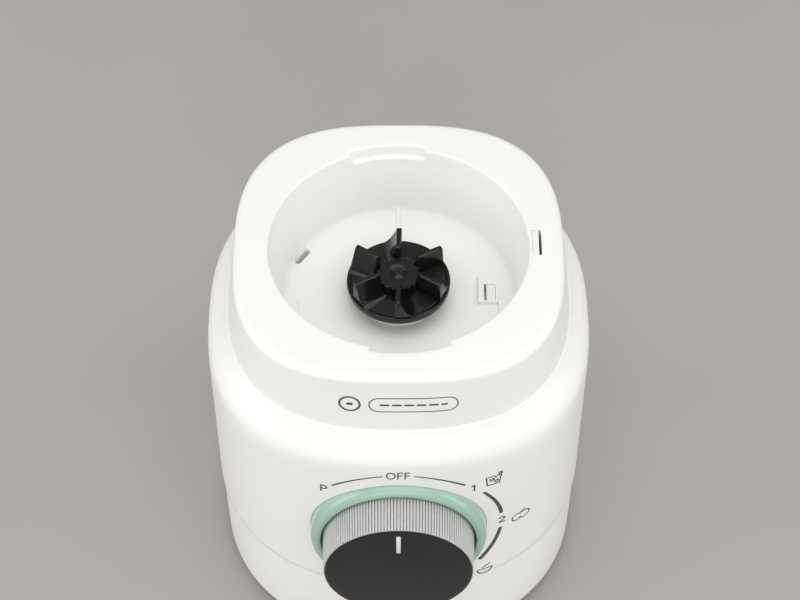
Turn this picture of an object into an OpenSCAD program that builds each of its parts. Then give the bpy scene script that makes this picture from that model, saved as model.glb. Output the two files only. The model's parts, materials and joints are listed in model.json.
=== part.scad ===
// Motor base of a countertop blender: housings, jug seat, drive, motor, speed knob and jug interlocks.
// The base stands on z = 0 with its front towards -Y; all sizes are in millimetres.

/* [Body] */
// Height from the table to the top of the jug rim
total_h = 190; // [188:1:192]
// Width of the housing at its shoulder
body_w = 172; // [170:1:174]
// Height of the joint between the upper and lower housings
seam_z = 50; // [49:1:51]
// Thickness of the plastic walls
wall = 2.5; // [2.3:0.1:2.7]

/* [Jug seat] */
// Width of the square rim around the jug seat
rim_w = 144; // [143:1:145]
// Radius of the round seat at its mouth
seat_r = 57; // [56.5:0.5:57.5]
// Radius of the seat floor
seat_floor_r = 51.5; // [51:0.5:52]
// Depth of the seat floor below the rim
seat_depth = 35; // [34:0.5:36]

/* [Drive coupling] */
// Radius of the coupling disc
coupling_r = 23; // [22:0.1:23.5]
// Depth of the disc's top face below the rim
coupling_drop = 23.6; // [23:0.1:24]
// Height of the drive fins above the disc
fin_h = 10; // [9:0.2:11]
// Number of drive fins
fin_count = 6; // [4:1:8]

/* [Speed knob] */
// Height of the knob's axis
knob_z = 91.6; // [91:0.2:92]
// Radius of the knob
knob_r = 34; // [33.5:0.1:34.2]
// How far the knob stands out of the front wall
knob_out = 20.5; // [20:0.5:21]
// Radius of the green ring round the knob
bezel_r = 39.2; // [39:0.1:39.4]

/* [Motor] */
// Radius of the motor shaft
shaft_r = 4; // [3.8:0.1:4.2]
// Radius of the rotor core
rotor_r = 19; // [18:0.5:19]
// Height of the lamination stacks
stack_h = 34; // [32:1:34]
// Radius of the cooling fan
fan_r = 36; // [34:1:37]

/* [Hidden] */
$fn = 64;

body_half = body_w / 2;
gland_out = 1.5;                // how far the cord gland stands out behind the housing
front_reach = body_half + knob_out;
back_reach = body_half + gland_out;
axis_y = (front_reach - back_reach) / 2;
rim_half = rim_w / 2;
crease_z = total_h - 32;        // foot of the collar, where the shoulder starts
crease_half = rim_half + 4;
seat_z = total_h - seat_depth;  // top of the seat floor
floor_z = seat_z - 3;           // underside of the seat floor
disc_z = total_h - coupling_drop;
seg = 72;                       // points round each housing outline
fit_gap = 0.1;                  // clearance of screws and pins in their holes

// housing outline: a superellipse with half-width a, half-depth b and exponent n
function ring(a, b, n, z) = [
    for (i = [0 : seg - 1])
        let (t = 360 * i / seg, c = cos(t), s = sin(t),
             r = pow(pow(abs(c) / a, n) + pow(abs(s) / b, n), -1 / n))
            [r * c, r * s, z]];
function outline(a, n) = [for (p = ring(a, a, n, 0)) [p[0], p[1]]];

// one closed skin through a loop of outlines: up the outside, then down the inside
module skin(rings) {
    count = len(rings);
    points = [for (r = rings) each r];
    faces = [
        for (i = [0 : count - 1], j = [0 : seg - 1])
            let (k = (i + 1) % count, m = (j + 1) % seg,
                 p = i * seg + j, q = k * seg + j, u = k * seg + m, v = i * seg + m)
                each [[p, q, u], [p, u, v]]];
    polyhedron(points, faces, convexity = 6);
}
module at_axis() translate([0, axis_y, 0]) children();
// local +Z points out of the front wall, +Y points up, and z = 0 is the wall's front
module at_front_wall() translate([0, -body_half, knob_z]) rotate([90, 0, 0]) children();
module at_knob() at_axis() at_front_wall() children();
module tube(r_out, r_in, z0, z1)
    translate([0, 0, z0]) difference() {
        cylinder(r = r_out, h = z1 - z0);
        translate([0, 0, -1]) cylinder(r = r_in, h = z1 - z0 + 2);
    }
module post(r, z0, z1) translate([0, 0, z0]) cylinder(r = r, h = z1 - z0);
module block(x0, x1, y0, y1, z0, z1) translate([x0, y0, z0]) cube([x1 - x0, y1 - y0, z1 - z0]);
module sector(r_in, r_out, z0, z1, a0, a1)
    rotate([0, 0, a0]) rotate_extrude(angle = a1 - a0)
        translate([r_in, z0]) square([r_out - r_in, z1 - z0]);
module diagonals(r) for (a = [45 : 90 : 315]) rotate([0, 0, a]) translate([r, 0, 0]) children();
module screw(r, length, head_r, head_h) {
    cylinder(r = r, h = length);
    difference() {
        translate([0, 0, -head_h]) cylinder(r = head_r, h = head_h);
        for (a = [0, 90]) rotate([0, 0, a])
            translate([-head_r * 0.6, -0.4, -head_h - 1]) cube([head_r * 1.2, 0.8, 1 + head_h / 2]);
    }
}
// a helical spring as one swept tube with six sides
module coil_spring(r, wire, height, turns) {
    steps = turns * 10;
    sides = 6;
    rise = (height - 2 * wire) / steps;
    points = [
        for (i = [0 : steps], j = [0 : sides - 1])
            let (a = 36 * i, b = 360 * j / sides, rr = r + wire * cos(b))
                [rr * cos(a), rr * sin(a), wire + rise * i + wire * sin(b)]];
    walls = [
        for (i = [0 : steps - 1], j = [0 : sides - 1])
            let (k = (j + 1) % sides, p = i * sides + j, q = i * sides + k)
                each [[p, p + sides, q + sides], [p, q + sides, q]]];
    ends = [[for (j = [0 : sides - 1]) j],
            [for (j = [0 : sides - 1]) (steps + 1) * sides - 1 - j]];
    polyhedron(points, concat(walls, ends), convexity = 8);
}

// ---------------------------------------------------------------- housings
collar_screw_r = 66;            // distance of the collar's screw bosses from the axis
mount_r = 30;                   // distance of the motor mounts from the axis
seal_r = 12.5;
notch_r = 59.3;                 // reach of the two jug lug notches
notch_depth = 6;
notch_x = [-12, 20.5];          // the front notch, from its steep end to its sloping end
notch_slope = 2.7;
land_h = 9;                     // straight mouth of the seat, above its taper
seat_pin = [40.8, 0.75];        // middle of the slot in the seat floor
rim_pin = [60.4, 1.5];          // middle of the slot in the rim
rim_stem_y = 7.2;

module seat_profile(grow, floor_drop)
    polygon([
        [0, seat_z - floor_drop], [seat_floor_r - 3 + grow, seat_z - floor_drop],
        [seat_floor_r - 0.6 + grow, seat_z - floor_drop + 1.2],
        [seat_floor_r + 0.5 + grow, seat_z + 3],
        [seat_r + grow, total_h - land_h], [seat_r + grow, total_h + 1 - grow / 2.6],
        [0, total_h + 1 - grow / 2.6]]);
module lug_notch() {
    intersection() {
        tube(notch_r, 50, total_h - notch_depth, total_h + 1);
        block(notch_x[0], notch_x[1], -70, 0, total_h - notch_depth, total_h + 1);
    }
    // sloping lead-in at the end where the jug turns home
    intersection() {
        tube(notch_r, 50, total_h - notch_depth, total_h + 1);
        translate([0, -50, 0]) rotate([90, 0, 0]) linear_extrude(20)
            polygon([[notch_x[1] - 1, total_h - notch_depth], [notch_x[1], total_h - notch_depth],
                     [notch_x[1] + notch_slope, total_h], [notch_x[1] + notch_slope, total_h + 1],
                     [notch_x[1] - 1, total_h + 1]]);
    }
}
module drain_outline(grow)
    translate([-43.7, 23.2]) rotate([0, 0, 55]) for (s = [-1, 1])
        translate([s * 3.4, 0]) circle(r = 1.4 + grow);
module drain_slot(grow, z0, z1) {
    translate([0, 0, z0]) linear_extrude(z1 - z0) drain_outline(grow);
    translate([-43.7, 23.2, z0]) rotate([0, 0, 55])
        translate([-3.4, -1.4 - grow, 0]) cube([6.8, 2.8 + 2 * grow, z1 - z0]);
}
module rim_slot() translate([rim_pin[0], rim_pin[1], 0])
    block(-2.1, 2, -7.2, 7.2, total_h - 40, total_h + 1);
module seat_slot() translate([seat_pin[0], seat_pin[1], 0])
    block(-2.6, 2.6, -4.7, 4.7, floor_z - 10, seat_z + 5);
module collar_shell() difference() {
    union() {
        skin([
            ring(crease_half, crease_half, 2.5, crease_z),
            ring(crease_half - 0.8, crease_half - 0.6, 2.6, crease_z + 7),
            ring(rim_half + 1.4, rim_half + 2.4, 2.75, total_h - 12),
            ring(rim_half, rim_half + 1.7, 2.85, total_h - 3),
            ring(rim_half - 0.7, rim_half + 1, 2.85, total_h - 0.9),
            ring(rim_half - 2.2, rim_half - 0.5, 2.85, total_h),
            ring(58.3, 58.3, 2, total_h),
            ring(58.3, 58.3, 2, total_h - wall),
            ring(rim_half - wall, rim_half + 1.7 - wall, 2.85, total_h - wall),
            ring(crease_half - wall, crease_half - wall, 2.5, crease_z)]);
        rotate_extrude() seat_profile(2.6, 3);
        // thicker rim behind each lug notch
        for (s = [-1, 1]) intersection() {
            tube(62.5, 55, total_h - notch_depth - 2.5, total_h - 1);
            block(-25, 25, min(0, s * 70), max(0, s * 70), total_h - 10, total_h - 1);
        }
        // guide sleeve under the slot in the rim
        block(57, 64, rim_pin[1] - 8.7, rim_pin[1] + 8.7, total_h - 20, total_h - 1);
        diagonals(collar_screw_r) post(4, crease_z, total_h - 1);
        diagonals(mount_r) post(5, floor_z - 5, floor_z + 1);
        drain_slot(2, floor_z - 6, floor_z + 1);
    }
    rotate_extrude() seat_profile(0, 0);
    for (a = [0, 180]) rotate([0, 0, a]) lug_notch();
    rim_slot();
    seat_slot();
    drain_slot(0, floor_z - 20, seat_z + 5);
    post(seal_r, floor_z - 1, seat_z + 5);
    diagonals(collar_screw_r) post(2, crease_z - 1, total_h - 12);
    diagonals(mount_r) post(2, floor_z - 6, floor_z - 0.5);
}
// raised details moulded on the seat floor
module seat_floor_details() {
    difference() {
        block(35.4, 44.4, -4.9, 9.5, seat_z - 0.2, seat_z + 1.8);
        seat_slot();
    }
    tube(16.5, 15, seat_z - 0.2, seat_z + 2);
    block(-0.85, 0.85, 24, seat_floor_r, seat_z - 0.2, seat_z + 1.6);
    for (s = [-1, 1])
        block(min(s * 44.5, s * 50.3), max(s * 44.5, s * 50.3), -15.5, -2.6, seat_z - 0.2, seat_z + 1);
}
module jug_collar() color("whitesmoke") at_axis() {
    collar_shell();
    seat_floor_details();
}

post_r = 74;                    // distance of the long housing screws from the axis
lower_half = body_half - 1;     // the lower housing sits this far inside the upper one
module corner_post(r, z0, z1)
    for (a = [45 : 90 : 315]) rotate([0, 0, a]) {
        translate([post_r, 0, 0]) post(r, z0, z1);
        block(post_r, post_r + 14.4, -1.2, 1.2, z0, z1);
    }
module upper_housing() color("white") at_axis() difference() {
    union() {
        skin([
            ring(body_half, body_half, 2.3, seam_z),
            ring(body_half, body_half, 2.4, knob_z),
            ring(body_half - 0.1, body_half - 0.1, 2.5, seam_z + 75),
            ring(body_half - 0.2, body_half - 0.2, 2.55, seam_z + 90),
            ring(body_half - 0.8, body_half - 0.8, 2.55, crease_z - 13.6),
            ring(body_half - 2, body_half - 2, 2.55, crease_z - 10.4),
            ring(body_half - 4.2, body_half - 4.2, 2.53, crease_z - 7.4),
            ring(crease_half + 0.6, crease_half + 0.6, 2.5, crease_z - 0.8),
            ring(crease_half + 0.2, crease_half + 0.2, 2.5, crease_z),
            ring(crease_half - 5, crease_half - 5, 2.5, crease_z),
            ring(crease_half - 5, crease_half - 5, 2.5, crease_z - wall),
            ring(crease_half - 1.2, crease_half - 1.2, 2.5, crease_z - wall),
            ring(body_half - 5.7, body_half - 5.7, 2.53, crease_z - 10),
            ring(body_half - 2.7, body_half - 2.7, 2.55, crease_z - 18),
            ring(body_half - wall, body_half - wall, 2.4, knob_z),
            ring(body_half - wall, body_half - wall, 2.3, seam_z)]);
        corner_post(4.5, seam_z + 4, seam_z + 30);
        // lugs under the collar's screw bosses
        diagonals(collar_screw_r) {
            post(6, crease_z - wall, crease_z);
            block(0, 13, -5, 5, crease_z - wall, crease_z);
        }
        // posts behind the front wall for the bezel screws
        at_front_wall() for (s = [-1, 1]) translate([s * 46.5, 0, -14.5]) cylinder(r = 3.5, h = 4.4);
    }
    at_front_wall() translate([0, 0, -12]) cylinder(r = bezel_r + 0.2, h = 20);
    at_front_wall() for (s = [-1, 1]) translate([s * 46.5, 0, -15]) cylinder(r = 1.6, h = 4.5);
    diagonals(post_r) post(1.9 + fit_gap, seam_z + 3, seam_z + 26);
    diagonals(collar_screw_r) post(2.1, crease_z - 4, crease_z + 1);
}
gland_z = 24;
module lower_housing() color("white") at_axis() difference() {
    union() {
        skin([
            ring(lower_half - 1.2, lower_half - 1.2, 2.3, 4),
            ring(lower_half - 0.4, lower_half - 0.4, 2.3, 6),
            ring(lower_half, lower_half, 2.3, seam_z - 1.2),
            ring(lower_half - 1.9, lower_half - 1.9, 2.3, seam_z - 1.2),
            ring(lower_half - 1.9, lower_half - 1.9, 2.3, seam_z + 2),
            ring(lower_half - 3.6, lower_half - 3.6, 2.3, seam_z + 2),
            ring(lower_half - 3.6, lower_half - 3.6, 2.3, 4)]);
        for (a = [45 : 90 : 315]) rotate([0, 0, a]) {
            translate([post_r, 0, 0]) post(4.5, 8, seam_z + 3.8);
            block(post_r, post_r + 12.4, -1.2, 1.2, 8, seam_z - 2);
        }
    }
    diagonals(post_r) post(2.1, 3, seam_z + 5);
    translate([0, 70, gland_z]) rotate([-90, 0, 0]) cylinder(r = 7, h = 30);
}

foot_r = 60;                    // distance of the feet from the middle of the base
plate_half = lower_half - 3.9;
module base_plate() color("gainsboro") at_axis() difference() {
    union() {
        translate([0, 0, 5]) linear_extrude(3) polygon(outline(plate_half, 2.3));
        // posts that carry the fan shroud and the inner fittings
        for (a = [0 : 90 : 270]) rotate([0, 0, a]) translate([0, 43, 0]) post(3, 7, 14);
    }
    for (a = [0 : 15 : 345]) rotate([0, 0, a]) {
        translate([16, -1.5, 4]) cube([14, 3, 5]);
        translate([16, 0, 4]) cylinder(r = 1.5, h = 5);
        translate([30, 0, 4]) cylinder(r = 1.5, h = 5);
    }
    diagonals(foot_r) post(3, 4, 9);
    diagonals(post_r) {
        post(2.1, 4, 9);
        post(4, 4, 6.5);
    }
}
module rubber_feet() color("dimgray") at_axis() diagonals(foot_r) {
    rotate_extrude() polygon([[0, 0], [7, 0], [8, 1], [8, 5], [0, 5]]);
    post(3, 5, 8);
    translate([0, 0, 8]) cylinder(r1 = 3.8, r2 = 2.6, h = 1.8);
}
module cord_gland() color("dimgray")
    translate([0, axis_y, gland_z]) rotate([-90, 0, 0]) rotate_extrude() polygon([
        [3.6, 76.5], [8.4, 76.5], [8.8, 78.6], [8.8, 80.6], [7, 80.6], [7, lower_half + 0.05],
        [9.4, lower_half + 0.05], [9.4, body_half], [8.6, body_half + gland_out],
        [3.6, body_half + gland_out]]);
module shaft_seal() color("dimgray") at_axis() rotate_extrude() polygon([
    [shaft_r + fit_gap, floor_z + 1], [5.5, floor_z - 1], [7, floor_z], [seal_r, floor_z],
    [seal_r, seat_z], [14.5, seat_z], [14, seat_z + 1.2], [7, seat_z + 1.2],
    [5.5, seat_z + 2], [shaft_r + fit_gap, seat_z + 0.4]]);
module collar_screws() color("silver") at_axis() diagonals(collar_screw_r)
    translate([0, 0, crease_z - wall]) screw(1.9, 16, 3.6, 2.4);
module housing_screws() color("silver") at_axis()
    diagonals(post_r) translate([0, 0, 6.5]) screw(1.9, seam_z + 15, 3.6, 1.4);

// ---------------------------------------------------------------- speed knob
bezel_out = 3.5;
cup_r = knob_r + 0.6;
core_r = knob_r - 3.1;
face_r = knob_r - 1.3;          // radius of the black face
face_z = 18.9;                  // where the face's rim rests on the clear skirt
module knob_bezel() color([0.64, 0.79, 0.70]) at_knob() difference() {
    union() {
        rotate_extrude() polygon([
            [0, -8.5], [43, -12.1], [43, -9.8], [bezel_r, -9.8], [bezel_r, 0.5],
            [bezel_r - 0.5, 1.4], [bezel_r - 1.8, 2.5], [cup_r + 0.9, bezel_out],
            [cup_r, bezel_out - 0.5], [cup_r, -6], [0, -6]]);
        for (s = [-1, 1]) translate([s * 46.5, 0, -17]) cylinder(r = 4, h = 2.5);
        for (s = [-1, 1]) translate([s * 43 - 3.5, -4, -17]) cube([7, 8, 2.5]);
        for (s = [-1, 1]) translate([s * 40.5 - 1.2, -4, -17]) cube([2.4, 8, 5.5]);
    }
    translate([0, 0, -20]) cylinder(r = 5, h = 20);
    translate([0, 0, -30]) cylinder(r = 33, h = 30 - 8.5);
    for (s = [-1, 1]) translate([s * 46.5, 0, -18]) cylinder(r = 1.9, h = 5);
}
module bezel_screws() color("silver") at_knob() for (s = [-1, 1])
    translate([s * 46.5, 0, -17]) screw(1.5, 5.8, 2.8, 1.8);
module knob_shell() color([0.85, 0.88, 0.88, 0.5]) at_knob() rotate_extrude() polygon([
    [core_r + 0.1, -4], [knob_r, -4], [knob_r - 0.8, face_z - 0.5], [knob_r - 1.2, face_z - 0.1],
    [core_r + 0.1, face_z - 0.1]]);
module knob_core() color("white") at_knob() difference() {
    union() {
        tube(core_r, core_r - 2, -4, 17.3);
        post(core_r - 1, 14.8, 17.3);
        post(7, -3, 15);
    }
    post(3, -4, 12);
}
function face_height(r) = knob_out - 1.1 * pow(r / core_r, 2);
module knob_face() color([0.07, 0.07, 0.08]) at_knob() difference() {
    rotate_extrude() polygon(concat(
        [[0, 17.3], [core_r, 17.3], [core_r, face_z], [face_r, face_z]],
        [for (i = [6 : -1 : 0]) [face_r * i / 6, face_height(face_r * i / 6)]]));
    translate([-1, 16, 18.6]) cube([2, 13, 3]);
}
module knob_pointer() color("white") at_knob() translate([-0.95, 16.1, 18.6]) cube([1.9, 12.8, 1.1]);
module switch_shaft() color("silver") at_knob() difference() {
    post(2.95, -24, 11.8);
    translate([1.8, -4, 0]) cube([4, 8, 13]);
}
module switch_body() color([0.2, 0.2, 0.22]) at_knob() {
    difference() {
        union() {
            translate([-20, -20, -28]) cube([40, 40, 19.4]);
            post(4.8, -9, -3.2);
        }
        post(3, -25, -2);
    }
    for (i = [-1.5 : 1 : 1.5]) translate([i * 9 - 3.15, 8, -35]) cube([6.3, 0.8, 7.2]);
}
module switch_nut() color("silver") at_knob() translate([0, 0, -6]) difference() {
    cylinder(r = 8, h = 2.4, $fn = 6);
    translate([0, 0, -1]) cylinder(r = 4.8, h = 5);
}

// ---------------------------------------------------------------- motor
stack_z = 92;
stack_top = stack_z + stack_h;
screw_x = 33.5;
air_gap = 0.6;
module stator_core() color("slategray") at_axis() difference() {
    block(-38, 38, -30, 30, stack_z, stack_top);
    post(rotor_r + air_gap, stack_z - 1, stack_top + 1);
    for (a = [0, 180]) rotate([0, 0, a]) {
        sector(rotor_r, 24, stack_z - 1, stack_top + 1, 62, 118);
        sector(23, 27, stack_z - 1, stack_top + 1, 30, 150);
    }
    for (s = [-1, 1]) translate([s * screw_x, 0, 0]) post(2.1, stack_z - 1, stack_top + 1);
}
module field_coils() color([0.72, 0.35, 0.12]) at_axis() for (a = [0, 180]) rotate([0, 0, a]) {
    sector(21.5, 28.5, stack_top + 0.2, stack_top + 7.5, -58, 58);
    sector(21.5, 28.5, stack_z - 9, stack_z - 0.2, -58, 58);
    sector(23.3, 26.7, stack_z - 1, stack_top + 1, 33, 57);
    sector(23.3, 26.7, stack_z - 1, stack_top + 1, -57, -33);
}
module upper_bracket() color("silver") at_axis() difference() {
    union() {
        block(-38, 38, -9, 9, 138, 142);
        for (s = [-1, 1]) block(s * screw_x - 4, s * screw_x + 4, -9, 9, stack_top, 139);
        for (a = [45, 135]) rotate([0, 0, a]) block(-mount_r - 6, mount_r + 6, -6, 6, 138, 142);
        post(11.5, 134.5, 145);
    }
    post(9, 133, 143);
    post(6, 140, 147);
    diagonals(mount_r) post(4, 137, 143);
    for (s = [-1, 1]) translate([s * screw_x, 0, 0]) post(2.1, stack_top - 1, 143);
}
module lower_bracket() color("silver") at_axis() difference() {
    union() {
        block(-38, 38, -9, 9, 48, 52);
        block(-7, 7, -34, 34, 48, 52);
        for (s = [-1, 1]) {
            block(s * screw_x - 4, s * screw_x + 4, -9, 9, 51, stack_z);
            block(-4, 4, min(s * 24, s * 34), max(s * 24, s * 34), 51, 64.8);
        }
        post(11.5, 42, 52);
    }
    post(9, 41, 50);
    post(6, 49, 54);
    for (s = [-1, 1]) translate([s * screw_x, 0, 0]) post(2.1, 47, stack_z + 1);
}
module bearing(z0, z1) color("darkgoldenrod") at_axis() tube(9, shaft_r + 0.05, z0, z1);
module upper_bearing() bearing(135, 143);
module lower_bearing() bearing(42, 50);
module motor_through_screws() color("silver") at_axis() for (s = [-1, 1])
    translate([s * screw_x, 0, 48]) screw(2, 93, 3.8, 2.4);
module motor_mounts() color("dimgray") at_axis() diagonals(mount_r) {
    tube(6, 2.1, 142, floor_z - 5);
    tube(3.9, 2.1, 137.9, 142.1);
    tube(6, 2.1, 136, 138);
}
module mount_screws() color("silver") at_axis() diagonals(mount_r)
    translate([0, 0, 136]) screw(1.9, 14.5, 4, 2);
module brush_pair() for (s = [0, 180]) at_axis() rotate([0, 0, s]) children();
module brush_holders() color("goldenrod") brush_pair() difference() {
    block(-4.3, 4.3, 13.5, 36, 64.8, 75.2);
    block(-3.1, 3.1, 12, 34.6, 65.9, 74.1);
}
module carbon_brushes() color([0.15, 0.15, 0.16]) brush_pair() difference() {
    block(-3, 3, 8, 27, 66, 74);
    post(commutator_r + 0.15, 65, 75);
}
module brush_springs() color("silver") brush_pair()
    translate([0, 27, 70]) rotate([-90, 0, 0]) coil_spring(2.4, 0.35, 7.5, 4);
module fan_shroud() color("gainsboro") at_axis() {
    tube(fan_r + 4.5, fan_r + 2.5, 14, 43);
    difference() {
        tube(fan_r + 10, fan_r + 3, 14, 16);
        for (a = [0 : 90 : 270]) rotate([0, 0, a]) translate([0, 43, 0]) post(1.2, 13, 17);
    }
}
module thermal_fuse() color("beige") at_axis()
    translate([-25, -6, stack_z - 9 - 2.5]) rotate([-90, 0, 0]) cylinder(r = 2.5, h = 12);
module terminal_block() color("ivory") at_axis() difference() {
    block(-68, -52, -15, 15, 8, 20);
    for (y = [-10, 0, 10]) {
        translate([-60, y, 12]) cylinder(r = 2, h = 10);
        translate([-70, y, 12]) rotate([0, 90, 0]) cylinder(r = 1.6, h = 20);
    }
}
module suppressor_capacitor() color("gold") at_axis() block(52, 64, -13, 13, 8, 28);

commutator_r = 11;
commutator_bars = 24;
module motor_shaft() color("lightgray") at_axis() {
    post(shaft_r, 22, seat_z + 3);
    post(3, seat_z + 2, disc_z + 2.6);
}
module rotor_core() color("slategray") at_axis() difference() {
    tube(rotor_r, shaft_r, stack_z, stack_top);
    for (a = [0 : 30 : 330]) rotate([0, 0, a]) {
        translate([15, 0, 0]) post(2.2, stack_z - 1, stack_top + 1);
        block(15, 21, -0.7, 0.7, stack_z - 1, stack_top + 1);
    }
}
module rotor_windings() color([0.72, 0.35, 0.12]) at_axis() {
    for (z = [stack_top + 0.2, stack_z - 8.2]) translate([0, 0, z]) rotate_extrude()
        polygon([[shaft_r, 0], [17.5, 0], [17.5, 5], [15.5, 7.5], [9, 8], [shaft_r, 6]]);
    for (a = [0 : 30 : 330]) rotate([0, 0, a]) translate([15, 0, 0])
        post(2, stack_z - 1, stack_top + 1);
}
module commutator() color([0.75, 0.42, 0.2]) at_axis() difference() {
    tube(commutator_r, shaft_r, 61, 79);
    for (i = [0 : commutator_bars - 1]) rotate([0, 0, i * 360 / commutator_bars])
        block(commutator_r - 1.5, commutator_r + 1, -0.3, 0.3, 60, 77);
}
module cooling_fan() color("dimgray") at_axis() difference() {
    union() {
        post(8, 24, 38);
        post(fan_r, 36.5, 38);
        for (a = [0 : 40 : 320]) rotate([0, 0, a]) translate([12, 0, 26]) rotate([0, 0, -25])
            cube([21, 1.2, 11]);
    }
    post(shaft_r, 23, 39);
}
module slinger_washer() color("silver") at_axis() tube(11, shaft_r, seat_z + 2.4, seat_z + 3);
module coupling_insert() color("goldenrod") at_axis() tube(5.5, 3, seat_z + 3.2, disc_z + 3);

// fin outline across its length: flat driving face, thin crest, then a hollow ramp
fin_face = -1.2;                // the driving face, beside the fin's radius
crest_w = 2.3;
ramp_len = 7.5;
ramp_curve = 2.4;               // how hollow the ramp is
ramp_steps = 8;
function fin_outline() = concat(
    [[fin_face, -0.5], [fin_face, fin_h], [fin_face + crest_w, fin_h]],
    [for (i = [1 : ramp_steps]) let (u = i / ramp_steps)
        [fin_face + crest_w + ramp_len * u, fin_h * pow(1 - u, ramp_curve) + 0.2 * u]],
    [[fin_face + crest_w + ramp_len, -0.5]]);
module drive_coupling() color([0.09, 0.09, 0.1]) at_axis() difference() {
    union() {
        translate([0, 0, disc_z]) rotate_extrude() polygon([
            [0, -3], [coupling_r - 0.6, -3], [coupling_r, -2.4], [coupling_r, -0.6],
            [coupling_r - 0.6, 0], [0, 0]]);
        post(9, disc_z - 1, disc_z + 4.6);
        post(7.5, seat_z + 3.2, disc_z - 2.5);
        intersection() {
            translate([0, 0, disc_z]) rotate_extrude() polygon([
                [7, -1], [coupling_r - 0.8, -1], [coupling_r - 0.8, 0.8], [coupling_r - 1.5, 3],
                [coupling_r - 2, fin_h], [10.2, fin_h], [10.2, 3.6], [7, 3.6]]);
            for (i = [0 : fin_count - 1]) rotate([0, 0, 90 + i * 360 / fin_count])
                translate([0, 0, disc_z]) rotate([90, 0, 90]) linear_extrude(30) polygon(fin_outline());
        }
    }
    post(5.5, seat_z, disc_z + 3);
    post(3.3, disc_z + 3.5, disc_z + 7);
}

// ---------------------------------------------------------------- jug interlocks
plate_z = floor_z - 9.6;        // underside of the interlock bracket's plate
plate_top = plate_z + 1.5;
stem_z = floor_z - 11.6;        // lower tip of both pins at rest
hinge_x = 19.5;                 // lever hinge, measured from the pin's own middle
hinge_z = stem_z - 3.9;
switch_top = hinge_z - 1;
lever_rest = 10;                // slope of each lever at rest, in degrees
rim_foot_z = plate_top + 12.5;  // underside of the rim pin, on its spring
module at_seat_pin() translate([seat_pin[0], axis_y + seat_pin[1], 0]) children();
module at_rim_pin() translate([rim_pin[0], axis_y + rim_stem_y, 0]) rotate([0, 0, 90]) children();
module pin_spring(height, turns) translate([0, 0, plate_top]) coil_spring(4.1, 0.35, height, turns);
module microswitch() {
    difference() {
        block(1.5, 21.5, -3.2, 3.2, switch_top - 10, switch_top);
        block(12.4, 14.6, -1.7, 1.7, switch_top - 2.4, switch_top + 1);
    }
    for (s = [-1, 1]) difference() {
        block(hinge_x - 1.6, hinge_x + 1.6, min(s * 2.3, s * 3.2), max(s * 2.3, s * 3.2),
              switch_top - 1, hinge_z + 1.2);
        translate([hinge_x, -5, hinge_z]) rotate([-90, 0, 0]) cylinder(r = 0.68, h = 10);
    }
    for (x = [5, 11.5, 18]) block(x - 0.3, x + 0.3, -2, 2, switch_top - 14, switch_top - 9.5);
}
module lever() translate([hinge_x, 0, hinge_z]) {
    rotate([0, lever_rest, 0]) block(-20.2, 0, -2, 2, -0.25, 0.25);
    rotate([90, 0, 0]) translate([0, 0, -2]) cylinder(r = 0.8, h = 4);
    rotate([90, 0, 0]) translate([0, 0, -3.1]) cylinder(r = 0.6, h = 6.2);
}
module button() block(12.5, 14.5, -1.5, 1.5, switch_top - 1.4, hinge_z + 0.5);
module interlock_bracket() color("silver") {
    difference() {
        at_axis() {
            block(33, 66, -14, 16, plate_z, plate_top);
            block(56, 66, 15, 29, plate_z, plate_top);
        }
        at_seat_pin() block(-2.5, 2.5, -2.9, 2.9, plate_z - 1, plate_top + 1);
        at_rim_pin() block(-2.9, 2.9, -2.1, 2.1, plate_z - 1, plate_top + 1);
    }
    at_axis() {
        // posts up to the seat floor, and webs that hold the two switches
        for (p = [[37, -11.5], [37, 13], [47, -11.5]]) translate([p[0], p[1], 0])
            post(2.4, plate_top - 0.1, floor_z);
        block(43, 61, seat_pin[1] - 4.7, seat_pin[1] - 3.2, switch_top - 10, plate_z + 0.1);
        block(rim_pin[0] + 3.2, rim_pin[0] + 4.7, 10, 28, switch_top - 10, plate_z + 0.1);
    }
}
module seat_microswitch() color([0.2, 0.2, 0.22]) at_seat_pin() microswitch();
module rim_microswitch() color([0.2, 0.2, 0.22]) at_rim_pin() microswitch();
module seat_spring() color("silver") at_seat_pin() pin_spring(5.4, 3);
module rim_spring() color("silver") at_rim_pin() pin_spring(12.4, 5);
module seat_pin() color("lightgray") at_seat_pin() {
    block(-1.45, 2.45, -4.5, 4.5, floor_z - 1, seat_z + 1.7);
    block(-4.8, 4.8, -6, 6, floor_z - 2.6, floor_z - 0.2);
    block(-2, 2, -2.5, 2.5, stem_z, floor_z - 2);
}
module rim_pin() color("lightgray") {
    at_axis() {
        block(58.45, 61.2, rim_pin[1] - 7, rim_pin[1] + 7, rim_foot_z, total_h - 0.3);
        block(58.45, 62.2, rim_pin[1] - 8.4, rim_pin[1] + 8.4, rim_foot_z, total_h - 20.4);
    }
    at_rim_pin() {
        block(-4.8, 4.8, -4, 4, rim_foot_z, total_h - 30);
        block(-2.5, 2.5, -1.7, 1.7, stem_z, rim_foot_z + 1);
    }
}
module seat_lever() color("silver") at_seat_pin() lever();
module rim_lever() color("silver") at_rim_pin() lever();
module seat_button() color("tomato") at_seat_pin() button();
module rim_button() color("tomato") at_rim_pin() button();

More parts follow.
